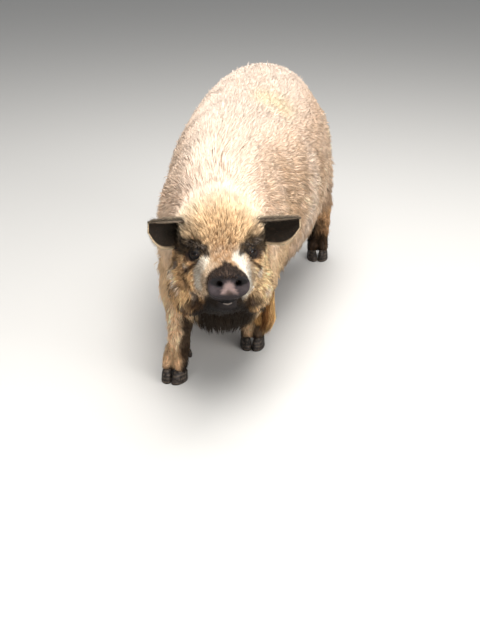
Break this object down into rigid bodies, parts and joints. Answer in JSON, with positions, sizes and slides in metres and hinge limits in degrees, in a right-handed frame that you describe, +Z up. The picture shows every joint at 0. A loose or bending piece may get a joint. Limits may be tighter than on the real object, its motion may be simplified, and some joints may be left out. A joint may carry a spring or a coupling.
{
  "type": "kunekune pig",
  "caption": "Cream long-haired kunekune pig walking, head level and turned to its left, visor ears, upturned snout and cloven hooves.",
  "frame": {"origin": "on the floor, under the middle of the bounding box", "axes": "-Y the way the pig faces, +X its left side, +Z up; +Y from snout to tail is the longest extent"},
  "size_m": [0.4954, 1.3594, 0.7119],
  "materials": {
    "cream_hair": "matte",
    "ear_skin": "matte",
    "wet_eye": "gloss",
    "horn": "satin"
  },
  "bodies": {
    "root": {"torso": "cream_hair", "neck": "cream_hair", "head": "cream_hair", "tail": "cream_hair", "ear_left": "ear_skin", "ear_right": "ear_skin", "eye_left": "wet_eye", "eye_right": "wet_eye", "leg_front_right": "cream_hair", "leg_front_left": "cream_hair", "leg_hind_right": "cream_hair", "leg_hind_left": "cream_hair", "hoof_front_right_inner": "horn", "hoof_front_right_outer": "horn", "hoof_front_left_inner": "horn", "hoof_front_left_outer": "horn", "hoof_hind_right_inner": "horn", "hoof_hind_right_outer": "horn", "hoof_hind_left_inner": "horn", "hoof_hind_left_outer": "horn", "dewclaw_front_right_inner": "horn", "dewclaw_front_right_outer": "horn", "dewclaw_front_left_inner": "horn", "dewclaw_front_left_outer": "horn", "dewclaw_hind_right_inner": "horn", "dewclaw_hind_right_outer": "horn", "dewclaw_hind_left_inner": "horn", "dewclaw_hind_left_outer": "horn"}
  },
  "joints": []
}
